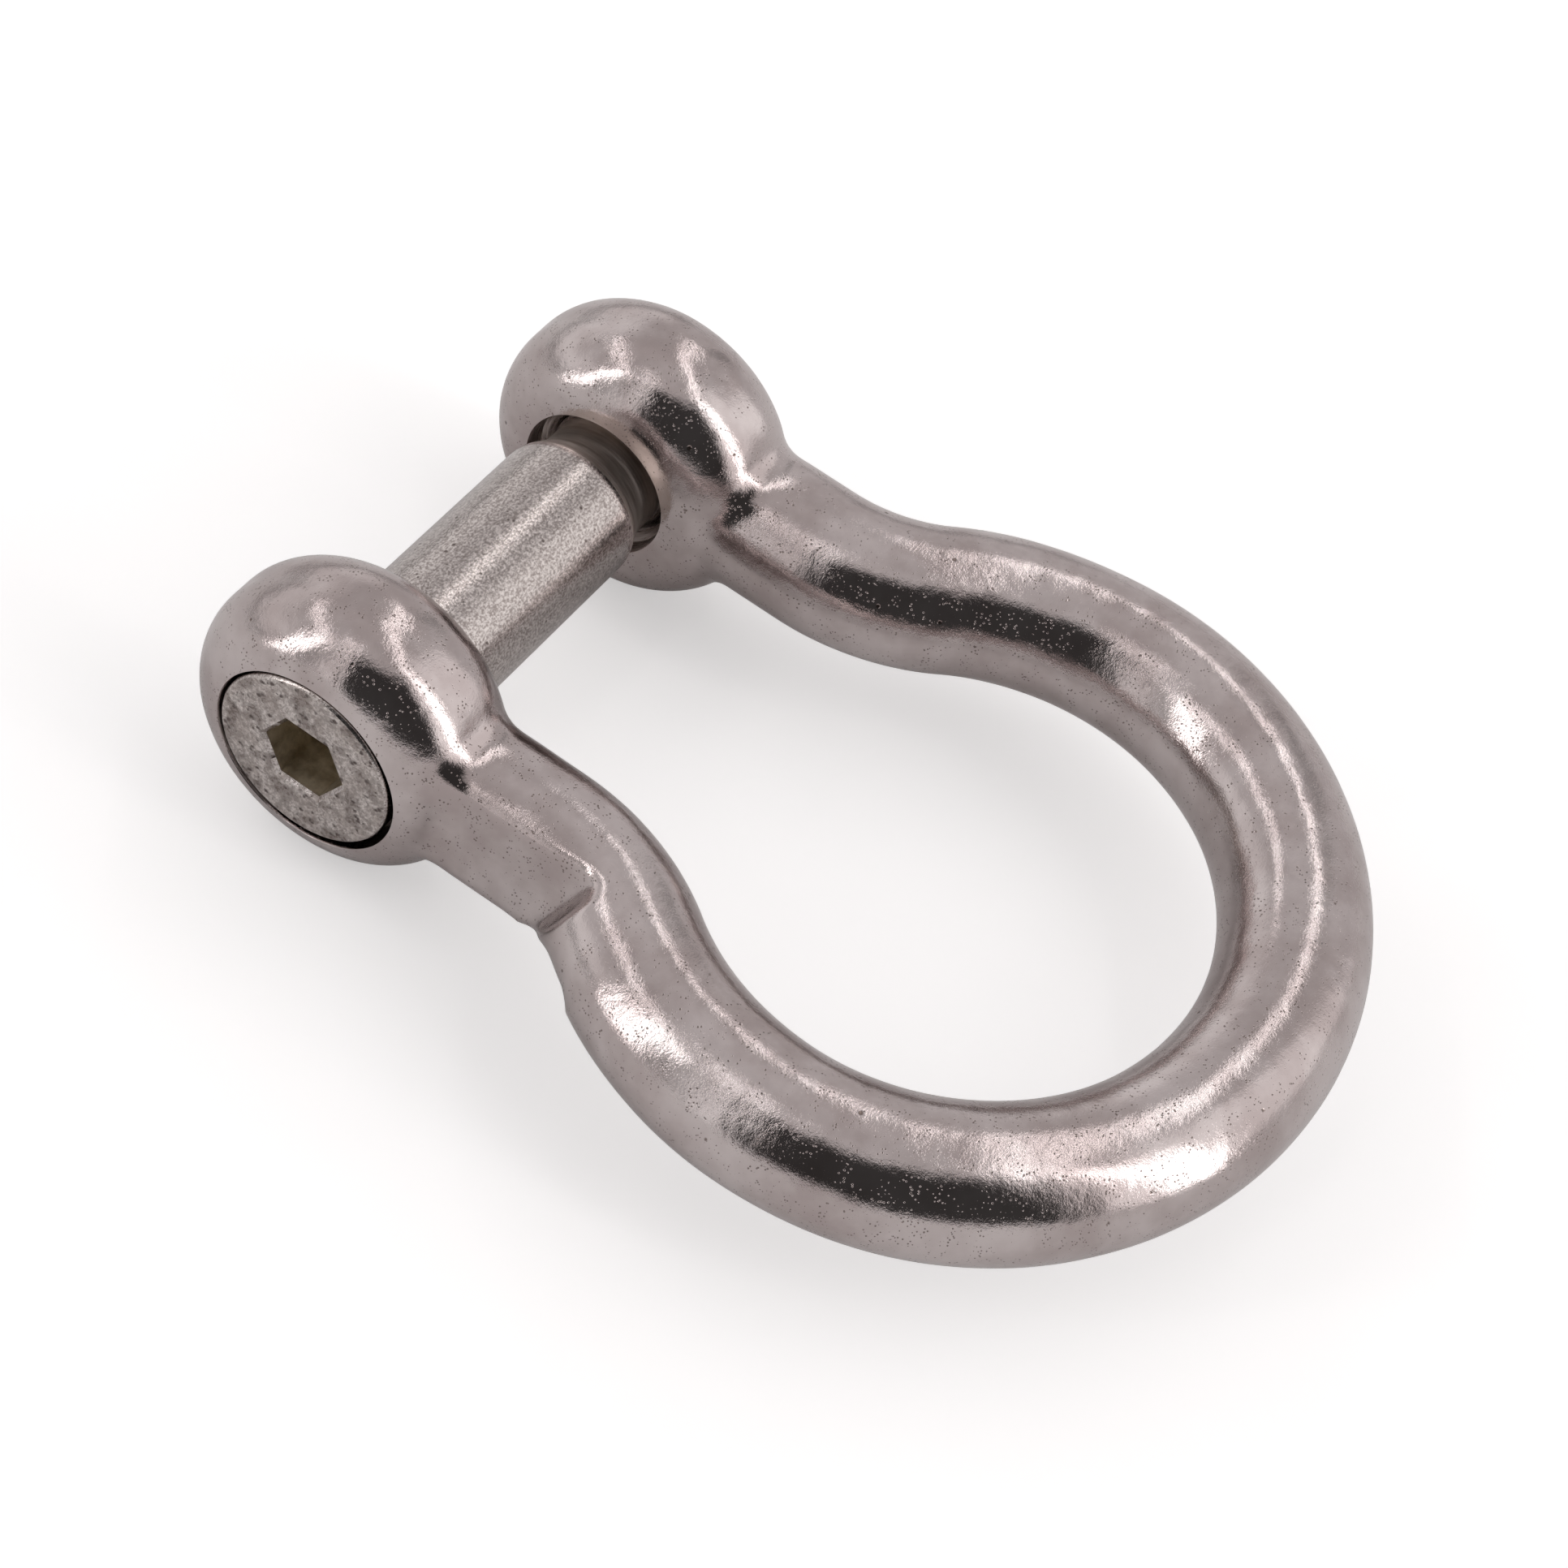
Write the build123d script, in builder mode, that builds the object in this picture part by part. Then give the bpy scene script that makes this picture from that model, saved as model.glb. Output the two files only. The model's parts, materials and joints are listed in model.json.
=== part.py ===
"""Bow shackle with a countersunk allen-head pin, for rigging on a sailing boat.

The shackle lies flat. The pin's axis is X, with its head at +X and its thread at -X.
+Y runs from the pin to the crown of the bow, and Z = 0 is the middle of the bow.
The origin is on the pin's axis, halfway between the ears. All sizes are in millimetres.
"""

from build123d import *
import math
import os

# ---- what the shackle is ordered by ----
pin_diameter = 10.0
jaw_gap = 20.0  # clear opening between the ears
inside_length = 50.8  # pin centre to the inside of the crown
bow_inside_width = 34.8  # clear width at the bow's widest point
bar_diameter = 9.6

# ---- the bow's line ----
leg_length = 14.0  # straight part of a leg, measured from the pin's centre
leg_bend_share = 0.405  # the leg bend's part of the double bend's two radii
bow_rise = 20.8  # from the widest line to the crown, at the bar's centre

# ---- ears ----
ear_diameter = 20.0
ear_swell = 0.6  # how much wider an ear is than the bar
ear_rim_flat = 1.4  # width of the straight band left round an ear's rim
leg_inset = 0.15  # a leg's outermost line below the ear's outer face

# ---- flat panel recessed into the outside of the +X leg, for a marking ----
panel_depth = 1.5  # below the leg's outermost line
panel_reach = 4.0  # how far it runs past the straight part of the leg
panel_corner = 1.2

# ---- pin head and its seat in the +X ear ----
head_lip = 1.2  # head beyond the shank, all round
head_seat_depth = 3.1  # ear face to the small end of the conical seat
head_inset = 0.05  # head face below the ear face
head_edge = 0.2
head_clearance = 0.3  # all round the head
shank_clearance = 0.6  # all round the shank in the +X ear, a shackle's usual loose hole
seat_gap = 0.03

# ---- hexagon socket ----
hex_across_flats = 5.0
hex_depth = 4.6
hex_chamfer = 0.25
hex_turn = 30.0  # puts one corner straight up
hex_drill_angle = 59.0  # half angle of the drill point at the bottom

# ---- shoulder, neck and thread of the pin ----
shoulder_setback = 2.8  # shank's end to the -X ear
shoulder_length = 2.0
neck_below_root = 0.1  # neck below the thread's root, all round
thread_pitch = 1.5
thread_start = 1.6  # first thread on the pin, inside the -X ear's face
thread_clearance = 0.08  # pin's thread to the ear's thread, all round
pin_end_inset = 0.3  # pin's end below the outer face of the -X ear
pin_end_chamfer = 0.4

# ---- ends of the threaded hole ----
mouth_clearance = 0.15  # hole's mouth beyond the shank, all round
mouth_depth = 1.2
exit_chamfer = 0.3

# ---- cutting tools ----
overrun = 1.0  # how far a tool runs past the faces it cuts

# ---- worked out ----
jaw_half = jaw_gap / 2
ear_width = bar_diameter + ear_swell
ear_outer = jaw_half + ear_width
ear_middle = jaw_half + ear_width / 2
ear_radius = ear_diameter / 2
ear_edge_radius = (ear_width - ear_rim_flat) / 2
bar_radius = bar_diameter / 2
leg_x = ear_outer - leg_inset - bar_radius
bow_x = bow_inside_width / 2 + bar_radius
crown_y = inside_length + bar_radius
widest_y = crown_y - bow_rise
panel_x = leg_x + bar_radius - panel_depth
panel_end = leg_length + panel_reach

pin_radius = pin_diameter / 2
head_radius = pin_radius + head_lip
seat_radius = head_radius + head_clearance
shank_hole_radius = pin_radius + shank_clearance
seat_small_x = ear_outer - head_seat_depth
head_face_x = ear_outer - head_inset
head_cone_x = seat_small_x + seat_gap - shank_clearance
drill_point = hex_across_flats / 2 / math.tan(math.radians(hex_drill_angle))
shank_end_x = shoulder_setback - jaw_half
thread_first_x = -jaw_half - thread_start
pin_end_x = pin_end_inset - ear_outer
mouth_radius = pin_radius + mouth_clearance
mouth_floor_x = -jaw_half - mouth_depth

# each leg's double bend: two arcs that meet with one direction, then run into the bow's oval
bend_out = bow_x - leg_x
bend_rise = widest_y - leg_length
bend_radii = (bend_out**2 + bend_rise**2) / (2 * bend_out)
leg_bend_radius = leg_bend_share * bend_radii
bow_bend_radius = bend_radii - leg_bend_radius
bend_angle = math.degrees(math.asin(bend_rise / bend_radii))

# ISO metric thread: depth and flats follow from the pitch
thread_depth = 0.5413 * thread_pitch
thread_crest = thread_pitch / 8
thread_foot = thread_crest + 2 * thread_depth * math.tan(math.radians(30))
thread_core_radius = pin_radius - thread_depth
tap_core_radius = thread_core_radius + thread_clearance
neck_radius = thread_core_radius - neck_below_root
exit_small_x = thread_depth + exit_chamfer - ear_outer
exit_cone = thread_depth + exit_chamfer + overrun
thread_sink = 0.2  # how far a ridge's foot is buried in its core
thread_run_on = 0.4  # part of a turn that a ridge runs on past its last whole one


def turned(points):
    """A solid turned about the X axis from its (x, radius) outline."""
    with BuildPart() as lathe:
        with BuildSketch(Plane.XY):
            with BuildLine():
                Polyline(*points, close=True)
            make_face()
        revolve(axis=Axis.X)
    return lathe.part


def helical_ridge(first_x, last_x, grow):
    """The thread's ridge from first_x past last_x towards -X, its foot in the core, larger all round by grow."""
    turns = math.ceil((first_x - last_x) / thread_pitch) + thread_run_on
    flank = grow / math.cos(math.radians(30))
    foot_half = thread_foot / 2 + flank + thread_sink * math.tan(math.radians(30))
    crest_half = thread_crest / 2 + flank
    ridge_height = thread_depth + thread_sink
    foot_radius = thread_core_radius + grow - thread_sink
    with BuildPart() as ridge:
        with BuildLine() as run:
            Helix(thread_pitch, turns * thread_pitch, foot_radius, center=(first_x, 0, 0), direction=(-1, 0, 0))
        start = run.line @ 0
        outward = Vector(0, start.Y, start.Z)
        with BuildSketch(Plane(origin=start, x_dir=outward, z_dir=run.line % 0)):
            with BuildLine():
                Polyline(
                    (0, -foot_half),
                    (0, foot_half),
                    (ridge_height, crest_half),
                    (ridge_height, -crest_half),
                    close=True,
                )
            make_face()
        sweep(path=run.line, is_frenet=True)
    return ridge.part


# ---- tools that cut the ears ----
seat_tool = turned(
    [
        (ear_outer + overrun, 0),
        (ear_outer + overrun, seat_radius),
        (seat_small_x + seat_radius - shank_hole_radius, seat_radius),
        (seat_small_x, shank_hole_radius),
        (jaw_half - overrun, shank_hole_radius),
        (jaw_half - overrun, 0),
    ]
)
mouth_tool = turned(
    [
        (overrun - jaw_half, 0),
        (overrun - jaw_half, mouth_radius),
        (mouth_floor_x, mouth_radius),
        (mouth_floor_x - (mouth_radius - tap_core_radius), tap_core_radius),
        (exit_small_x, tap_core_radius),
        (exit_small_x - exit_cone, tap_core_radius + exit_cone),
        (-ear_outer - overrun, 0),
    ]
)
tap_ridge = helical_ridge(thread_first_x + 2 * thread_pitch, -ear_outer - thread_pitch, thread_clearance)
with BuildPart() as tap:
    add(mouth_tool)
    add(tap_ridge)

# ---- bow: the bar, its two ears, the pin's seat and the threaded hole ----
with BuildPart() as bow:
    with BuildLine() as bar_line:
        Line((leg_x, 0), (leg_x, leg_length))
        CenterArc((leg_x + leg_bend_radius, leg_length), leg_bend_radius, 180, -bend_angle)
        CenterArc((bow_x - bow_bend_radius, widest_y), bow_bend_radius, -bend_angle, bend_angle)
        EllipticalCenterArc((0, widest_y), bow_x, bow_rise, start_angle=0, arc_size=90)
        mirror(about=Plane.YZ)
    with BuildSketch(Plane(origin=(leg_x, 0, 0), z_dir=(0, 1, 0))):
        Circle(bar_radius)
    sweep(path=bar_line.wire())

    # flat panel on the +X leg, with a rounded shoulder where the leg turns outward
    with BuildSketch(Plane.XY):
        with Locations((panel_x, 0)):
            Rectangle(bar_diameter, panel_end, align=(Align.MIN, Align.MIN))
    extrude(amount=bar_diameter, both=True, mode=Mode.SUBTRACT)
    shoulder_foot = bow.edges().filter_by(Axis.Z).sort_by_distance((panel_x, panel_end, 0))[0]
    fillet(shoulder_foot, panel_corner)

    # ears, rounded all round
    for side in (1, -1):
        with BuildSketch(Plane.XY):
            with Locations((side * ear_middle, 0)):
                ear_section = Rectangle(ear_width, ear_radius, align=(Align.CENTER, Align.MIN))
            fillet(ear_section.vertices().group_by(Axis.Y)[-1], ear_edge_radius)
        revolve(axis=Axis.X)

    add(seat_tool, mode=Mode.SUBTRACT)
    add(tap.part, mode=Mode.SUBTRACT)

bow.part.label = "bow"

# ---- pin: head with a hexagon socket, plain shank, shoulder, neck and thread ----
pin_blank = turned(
    [
        (head_face_x, 0),
        (head_face_x, head_radius - head_edge),
        (head_face_x - head_edge, head_radius),
        (head_cone_x + head_radius - pin_radius, head_radius),
        (head_cone_x, pin_radius),
        (shank_end_x, pin_radius),
        (shank_end_x - shoulder_length, neck_radius),
        (thread_first_x, neck_radius),
        (thread_first_x, thread_core_radius),
        (pin_end_x + pin_end_chamfer, thread_core_radius),
        (pin_end_x, thread_core_radius - pin_end_chamfer),
        (pin_end_x, 0),
    ]
)
thread_envelope = turned(
    [
        (thread_first_x, 0),
        (thread_first_x, neck_radius),
        (thread_first_x - thread_depth, neck_radius + thread_depth),
        (thread_first_x - thread_depth, pin_radius + overrun),
        (pin_end_x + thread_depth + overrun, pin_radius + overrun),
        (pin_end_x, thread_core_radius - pin_end_chamfer),
        (pin_end_x, 0),
    ]
)
pin_ridge = helical_ridge(thread_first_x + thread_pitch, pin_end_x - thread_pitch, 0) & thread_envelope

with BuildPart() as pin:
    add(pin_blank)
    add(pin_ridge)
    with BuildSketch(Plane(origin=(head_face_x, 0, 0), x_dir=(0, 1, 0), z_dir=(1, 0, 0))) as socket:
        RegularPolygon(hex_across_flats / 2, 6, major_radius=False, rotation=hex_turn)
    extrude(amount=-hex_depth, mode=Mode.SUBTRACT)
    socket_mouth = pin.edges().filter_by(GeomType.LINE).group_by(Axis.X)[-1]
    chamfer(socket_mouth, hex_chamfer)
    with Locations(Plane(origin=(head_face_x - hex_depth, 0, 0), z_dir=(-1, 0, 0))):
        Cone(hex_across_flats / 2, 0, drill_point, align=(Align.CENTER, Align.CENTER, Align.MIN), mode=Mode.SUBTRACT)

pin.part.label = "pin"

os.makedirs("parts", exist_ok=True)
export_step(bow.part, "parts/bow.step")
export_step(pin.part, "parts/pin.step")
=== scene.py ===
# Bow shackle: a polished cast bow and a brushed allen-head pin, in metres.
# The pin's axis is X with its head at +X, and +Y runs from the pin to the crown of the bow.
import json
import math

import bpy
import numpy as np
from mathutils import Matrix, Vector, noise


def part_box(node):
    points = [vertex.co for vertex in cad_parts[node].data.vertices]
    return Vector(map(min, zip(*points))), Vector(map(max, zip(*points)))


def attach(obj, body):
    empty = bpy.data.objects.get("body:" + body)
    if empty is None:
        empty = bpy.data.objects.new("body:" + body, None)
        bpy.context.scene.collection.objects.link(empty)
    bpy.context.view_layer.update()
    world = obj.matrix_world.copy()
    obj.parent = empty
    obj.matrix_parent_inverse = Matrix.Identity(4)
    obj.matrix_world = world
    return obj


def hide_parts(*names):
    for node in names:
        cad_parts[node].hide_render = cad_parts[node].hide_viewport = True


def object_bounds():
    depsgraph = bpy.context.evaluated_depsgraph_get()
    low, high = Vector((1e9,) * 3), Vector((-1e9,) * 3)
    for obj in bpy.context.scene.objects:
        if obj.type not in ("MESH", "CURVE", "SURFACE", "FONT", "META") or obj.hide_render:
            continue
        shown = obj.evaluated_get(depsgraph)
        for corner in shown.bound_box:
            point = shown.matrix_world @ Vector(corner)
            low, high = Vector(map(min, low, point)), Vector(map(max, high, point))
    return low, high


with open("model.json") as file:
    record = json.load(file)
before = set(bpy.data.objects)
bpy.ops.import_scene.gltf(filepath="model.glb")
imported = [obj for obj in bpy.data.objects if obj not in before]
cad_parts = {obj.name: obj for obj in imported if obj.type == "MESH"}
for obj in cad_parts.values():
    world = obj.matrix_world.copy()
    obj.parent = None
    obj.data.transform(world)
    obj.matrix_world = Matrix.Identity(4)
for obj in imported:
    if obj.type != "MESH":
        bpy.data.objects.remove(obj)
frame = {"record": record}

mm = 0.001
cadBox = [list(corner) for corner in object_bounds()]
bowLow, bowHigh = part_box("bow")
pinLow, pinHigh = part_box("pin")

# what a maker would change on the bow
bowSizes = {
    "barDiameter": 9.6 * mm,
    "jawGap": 20 * mm,
    "earSwell": 0.6 * mm,         # an ear is this much wider than the bar
    "earRimFlat": 1.4 * mm,
    "legInset": 0.15 * mm,
    "threadEarShift": 0.45 * mm,  # the threaded ear is cast a little off its hole, towards the crown
    "legLength": 14 * mm,
    "legBendShare": 0.405,
    "bowRise": 20.8 * mm,
    "creaseRound": 2.7 * mm,      # how widely a leg runs into its ear
    "panelDepth": 1.5 * mm,
    "panelReach": 18.0 * mm,      # from the pin's axis to the panel's shoulder
    "panelSlant": 0.45,           # the shoulder lies further along at the top
    "panelTilt": 0.1,             # the panel's floor faces up a little
    "panelCorner": 1.8 * mm,
    "panelEdge": 0.45 * mm,
    "knuckleDepth": 1.6 * mm,     # low on the leg the recess runs on past the panel to a knuckle
    "knuckleStart": 15.5 * mm,
    "knuckleRunIn": 3.5 * mm,
    "knuckleEnd": 21.9 * mm,
    "knuckleRunOut": 0.9 * mm,
    "knuckleLow": 3.2 * mm,       # its middle, below the middle of the bar
    "knuckleReach": 2.0 * mm,
    "knuckleSide": 2 * mm,        # it fades out towards the middle of the bar over this
    "skin": 0.27 * mm,            # spacing of the mesh
}

# waves that a polishing wheel leaves all over, and coarser lumps where it can't reach
handPolish = {
    "waveLength": 4.5 * mm,
    "waveDepth": 0.035,           # depths in millimetres
    "lumpLength": 1.5 * mm,
    "lumpDepth": 0.006,
    "creaseDepth": 0.09,
    "creaseWidth": 0.9 * mm,
    "creaseFrom": 6 * mm,         # creases count only this far from the pin's axis
}

# hand-polishing leaves shallow dents too: place, depth and reach of each, in millimetres
polishDents = [
    ((15.6, 10.6, 4.6), 0.16, 2.0),
    ((-15.6, 10.4, 4.6), 0.14, 2.2),
    ((15.6, -5.2, 8.4), 0.18, 2.6),
    ((-14.2, -4.0, 9.0), 0.22, 3.0),
    ((-15.0, 12.6, 4.4), 0.16, 2.8),
    ((9.5, 52.0, 4.2), 0.10, 5.0),
    ((-21.0, 30.0, 3.4), 0.12, 5.0),
    ((21.4, 38.0, -2.0), 0.10, 6.0),
]

barRadius = bowSizes["barDiameter"] / 2
earWidth = bowSizes["barDiameter"] + bowSizes["earSwell"]
earMiddle = bowSizes["jawGap"] / 2 + earWidth / 2
earOuter = bowSizes["jawGap"] / 2 + earWidth
earRadius = bowHigh.z
earEdge = (earWidth - bowSizes["earRimFlat"]) / 2
legX = earOuter - bowSizes["legInset"] - barRadius
bowX = bowHigh.x - barRadius
crownY = bowHigh.y - barRadius
widestY = crownY - bowSizes["bowRise"]
panelX = legX + barRadius - bowSizes["panelDepth"]
bendOut = bowX - legX
bendRise = widestY - bowSizes["legLength"]
bendRadii = (bendOut**2 + bendRise**2) / (2 * bendOut)
legBend = bowSizes["legBendShare"] * bendRadii
bowBend = bendRadii - legBend
bendAngle = math.asin(bendRise / bendRadii)


def newMesh(name, points, faces):
    mesh = bpy.data.meshes.new(name)
    mesh.from_pydata([tuple(p) for p in points], [], faces)
    mesh.validate()
    mesh.polygons.foreach_set("use_smooth", [True] * len(mesh.polygons))
    made = bpy.data.objects.new(name, mesh)
    bpy.context.scene.collection.objects.link(made)
    return made


def drop(spare):
    mesh = spare.data
    bpy.data.objects.remove(spare)
    bpy.data.meshes.remove(mesh)


def settle(made):
    # the shown mesh becomes the piece's own, with no modifiers left
    graph = bpy.context.evaluated_depsgraph_get()
    final = bpy.data.meshes.new_from_object(made.evaluated_get(graph))
    made.modifiers.clear()
    old = made.data
    made.data = final
    bpy.data.meshes.remove(old)
    final.name = made.name


def getPoints(mesh):
    points = np.zeros(len(mesh.vertices) * 3, np.float32)
    mesh.vertices.foreach_get("co", points)
    return points.reshape(-1, 3).astype(float)


def setPoints(mesh, points):
    mesh.vertices.foreach_set("co", points.astype(np.float32).ravel())
    mesh.update()


# turned shapes
def roundCorners(outline, radius, steps):
    # an outline of (x, radius) points with each inner corner rounded off
    made = [outline[0]]
    for before, here, after in zip(outline, outline[1:], outline[2:]):
        here = Vector(here)
        back = Vector(before) - here
        on = Vector(after) - here
        reach = min(radius, back.length * 0.45, on.length * 0.45)
        start = here + back.normalized() * reach
        end = here + on.normalized() * reach
        for step in range(steps + 1):
            t = step / steps
            made.append(tuple(start * (1 - t) ** 2 + here * (2 * t * (1 - t)) + end * t**2))
    made.append(outline[-1])
    return made


def ringMesh(name, stations, segments, radiusAt):
    # closed skin of rings round the X axis, radiusAt(station, angle), with a pole at each end
    angles = np.arange(segments) * 2 * math.pi / segments
    points = [(stations[0][0], 0, 0)]
    for station in stations:
        radii = radiusAt(station, angles)
        for radius, angle in zip(radii, angles):
            points.append((station[0], radius * math.cos(angle), radius * math.sin(angle)))
    points.append((stations[-1][0], 0, 0))
    last = len(points) - 1
    faces = []
    for k in range(segments):
        after = (k + 1) % segments
        faces.append((0, 1 + after, 1 + k))
        for ring in range(len(stations) - 1):
            here = 1 + ring * segments
            faces.append((here + k, here + after, here + segments + after, here + segments + k))
        faces.append((last, last - segments + k, last - segments + after))
    if stations[0][0] > stations[-1][0]:
        faces = [face[::-1] for face in faces]
    return newMesh(name, points, faces)


# the bow's skin, as a distance from any point
def arcDistance(x, y, centreX, centreY, radius, low, high):
    angles = np.clip(np.mod(np.arctan2(y - centreY, x - centreX) + math.pi / 2, 2 * math.pi), low, high)
    angles = angles - math.pi / 2
    return np.hypot(x - centreX - radius * np.cos(angles), y - centreY - radius * np.sin(angles))


def ovalDistance(x, y, halfWidth, halfHeight):
    alongX = np.full_like(x, math.sqrt(0.5))
    alongY = np.full_like(x, math.sqrt(0.5))
    for _ in range(4):
        hubX = (halfWidth**2 - halfHeight**2) * alongX**3 / halfWidth
        hubY = (halfHeight**2 - halfWidth**2) * alongY**3 / halfHeight
        reach = np.hypot(halfWidth * alongX - hubX, halfHeight * alongY - hubY)
        away = np.hypot(x - hubX, y - hubY) + 1e-9
        alongX = np.clip(((x - hubX) * reach / away + hubX) / halfWidth, 0, 1)
        alongY = np.clip(((y - hubY) * reach / away + hubY) / halfHeight, 0, 1)
        length = np.hypot(alongX, alongY)
        alongX = alongX / length
        alongY = alongY / length
    return np.hypot(x - halfWidth * alongX, y - halfHeight * alongY)


def softMax(a, b, width):
    share = np.clip(0.5 + 0.5 * (a - b) / width, 0, 1)
    return b * (1 - share) + a * share + width * share * (1 - share)


def barSkin(p):
    # the round bar along its legs, double bends and oval crown, with the panel taken out of the +X leg
    x = np.abs(p[:, 0])
    y = p[:, 1]
    z = p[:, 2]
    leg = np.hypot(x - legX, y - np.clip(y, 0, bowSizes["legLength"]))
    quarter = math.pi / 2
    outward = arcDistance(x, y, legX + legBend, bowSizes["legLength"], legBend,
                          3 * quarter - bendAngle, 3 * quarter)
    inward = arcDistance(x, y, bowX - bowBend, widestY, bowBend, quarter - bendAngle, quarter)
    crown = ovalDistance(x, np.maximum(y - widestY, 0), bowX, bowSizes["bowRise"])
    crown = np.where(y < widestY, 1.0, crown)
    flat = np.minimum(np.minimum(leg, outward), np.minimum(inward, crown))
    bar = np.hypot(flat, z) - barRadius
    shoulder = bowSizes["panelReach"] + bowSizes["panelSlant"] * z
    floor = panelX - bowSizes["panelTilt"] * z
    cut = softMax(floor - p[:, 0], y - shoulder, bowSizes["panelCorner"])
    recess = np.exp(-((z + bowSizes["knuckleLow"]) / bowSizes["knuckleReach"]) ** 2)
    runIn = np.clip((y - bowSizes["knuckleStart"]) / bowSizes["knuckleRunIn"], 0, 1)
    runOut = np.clip((bowSizes["knuckleEnd"] - y) / bowSizes["knuckleRunOut"], 0, 1)
    recess *= runIn * runOut
    recess *= np.clip((p[:, 0] - legX) / bowSizes["knuckleSide"], 0, 1)
    return softMax(bar + bowSizes["knuckleDepth"] * recess, -cut, bowSizes["panelEdge"])


def earSkin(p):
    # both ears: round all over, with a narrow straight band round the rim
    overX = np.abs(np.abs(p[:, 0]) - earMiddle) - (earWidth / 2 - earEdge)
    shift = np.where(p[:, 0] < 0, bowSizes["threadEarShift"], 0)
    overR = np.hypot(p[:, 1] - shift, p[:, 2]) - (earRadius - earEdge)
    outside = np.hypot(np.maximum(overX, 0), np.maximum(overR, 0))
    return outside + np.minimum(np.maximum(overX, overR), 0) - earEdge


def slope(distance, p):
    step = 0.01 * mm
    gradient = np.zeros_like(p)
    for axis in range(3):
        shift = np.zeros(3)
        shift[axis] = step
        gradient[:, axis] = (distance(p + shift) - distance(p - shift)) / (2 * step)
    return gradient


def bowSkin(p, width):
    # bar and ears run into each other over width, and the polisher's dents go in
    bar = barSkin(p)
    ear = earSkin(p)
    share = np.clip(0.5 + 0.5 * (ear - bar) / width, 0, 1)
    whole = ear * (1 - share) + bar * share - width * share * (1 - share)
    for place, depth, reach in polishDents:
        away = np.sum((p - np.array(place) * mm) ** 2, axis=1) / (reach * mm) ** 2
        whole = whole + depth * mm * np.exp(-away)
    return whole


# how the mesh is pressed onto the skin
farthestMove = 0.4 * mm
leastCreaseShare = 0.02
leastSlope = 0.2
evenOutShare = 0.6


def pressOnSkin(p, rounds=5):
    # moves each point straight onto the bow's skin, rounding only where the two forms cross
    for _ in range(rounds):
        across = np.sum(slope(barSkin, p) * slope(earSkin, p), axis=1)
        width = bowSizes["creaseRound"] * np.clip(1 - across, leastCreaseShare, 1)
        height = bowSkin(p, width)
        gradient = slope(lambda q: bowSkin(q, width), p)
        steepness = np.maximum(np.sum(gradient**2, axis=1), leastSlope)
        move = np.clip(height, -farthestMove, farthestMove) / steepness
        p = p - gradient * move[:, None]
    return p, gradient / np.linalg.norm(gradient, axis=1)[:, None]


def evenOut(mesh, p, rounds=3):
    # slides points along the skin towards the middle of their neighbours
    edges = np.zeros(len(mesh.edges) * 2, np.int64)
    mesh.edges.foreach_get("vertices", edges)
    edges = edges.reshape(-1, 2)
    count = np.bincount(edges.ravel(), minlength=len(p))[:, None]
    for _ in range(rounds):
        total = np.zeros_like(p)
        np.add.at(total, edges[:, 0], p[edges[:, 1]])
        np.add.at(total, edges[:, 1], p[edges[:, 0]])
        p, normals = pressOnSkin(p + evenOutShare * (total / count - p), 2)
    return p, normals


def bowLine():
    # points along the middle of the bar, from one ear round the crown to the other
    side = [(legX, 0.0)]
    for k in range(13):
        a = math.pi - bendAngle * k / 12
        alongY = bowSizes["legLength"] + legBend * math.sin(a)
        side.append((legX + legBend + legBend * math.cos(a), alongY))
    for k in range(1, 13):
        a = -bendAngle * (1 - k / 12)
        side.append((bowX - bowBend + bowBend * math.cos(a), widestY + bowBend * math.sin(a)))
    for k in range(1, 25):
        a = math.pi / 2 * k / 24
        side.append((bowX * math.cos(a), widestY + bowSizes["bowRise"] * math.sin(a)))
    return side + [(-x, y) for x, y in reversed(side[:-1])]


def makeBowBlank():
    line = bowLine()
    curve = bpy.data.curves.new("barBlank", "CURVE")
    curve.dimensions = "3D"
    curve.bevel_depth = barRadius
    curve.bevel_resolution = 10
    curve.use_fill_caps = True
    spline = curve.splines.new("POLY")
    spline.points.add(len(line) - 1)
    for point, (x, y) in zip(spline.points, line):
        point.co = (x, y, 0, 1)
    bar = bpy.data.objects.new("barBlank", curve)
    bpy.context.scene.collection.objects.link(bar)
    mesh = bpy.data.meshes.new_from_object(bar.evaluated_get(bpy.context.evaluated_depsgraph_get()))
    bpy.data.objects.remove(bar)
    points = [v.co.copy() for v in mesh.vertices]
    faces = [tuple(f.vertices) for f in mesh.polygons]
    half = earWidth / 2
    for side in (1, -1):
        rim = []
        for k in range(11):
            a = math.pi / 2 * k / 10
            rimRadius = earRadius - earEdge + earEdge * math.cos(a)
            rim.append((half - earEdge + earEdge * math.sin(a), rimRadius))
        outline = [(x, r) for x, r in reversed(rim)] + [(-x, r) for x, r in rim]
        stations = [(side * earMiddle + x, r) for x, r in outline]
        ear = ringMesh("earBlank", stations, 96, lambda station, angles: np.full(len(angles), station[1]))
        start = len(points)
        points += [v.co.copy() for v in ear.data.vertices]
        faces += [tuple(start + v for v in f.vertices) for f in ear.data.polygons]
        drop(ear)
    bpy.data.meshes.remove(mesh)
    return newMesh("bowCasting", points, faces)


def evenSkin(made):
    remesh = made.modifiers.new("evenSkin", "REMESH")
    remesh.mode = "VOXEL"
    remesh.voxel_size = bowSizes["skin"]
    settle(made)


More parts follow.
